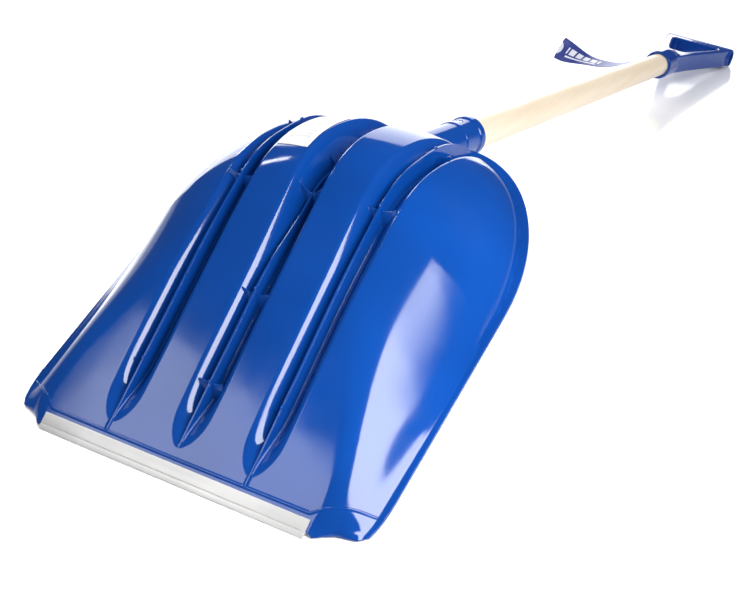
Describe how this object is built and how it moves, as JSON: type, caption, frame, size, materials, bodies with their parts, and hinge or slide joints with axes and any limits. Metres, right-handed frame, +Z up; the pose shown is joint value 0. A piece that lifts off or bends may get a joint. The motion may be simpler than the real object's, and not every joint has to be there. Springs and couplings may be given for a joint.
{
  "type": "snow shovel",
  "caption": "Snow shovel with a wide ribbed plastic scoop, a metal wear strip on its front edge, a round wooden shaft and a D-shaped grip.",
  "frame": {"origin": "bottom centre of the object's box, on the floor it lies on", "axes": "+Y runs from the front edge to the grip, +X is across the scoop, +Z is up"},
  "size_m": [0.392, 1.3964, 0.2212],
  "materials": {
    "blade_plastic": "glossy injection-moulded polypropylene",
    "strip_aluminium": "satin, extruded",
    "shaft_wood": "pale, lightly lacquered",
    "grip_plastic": "glossy",
    "screw_steel": "zinc plated",
    "label_paper": "paper sticker with plain bars",
    "tag_paper": "printed paper strip with plain white marks"
  },
  "bodies": {
    "root": {"blade": "blade_plastic", "wear_strip": "strip_aluminium", "shaft": "shaft_wood", "grip": "grip_plastic", "socket_screw": "screw_steel", "grip_screw": "screw_steel", "barcode_label": "label_paper", "warranty_tag": "tag_paper"}
  },
  "joints": []
}
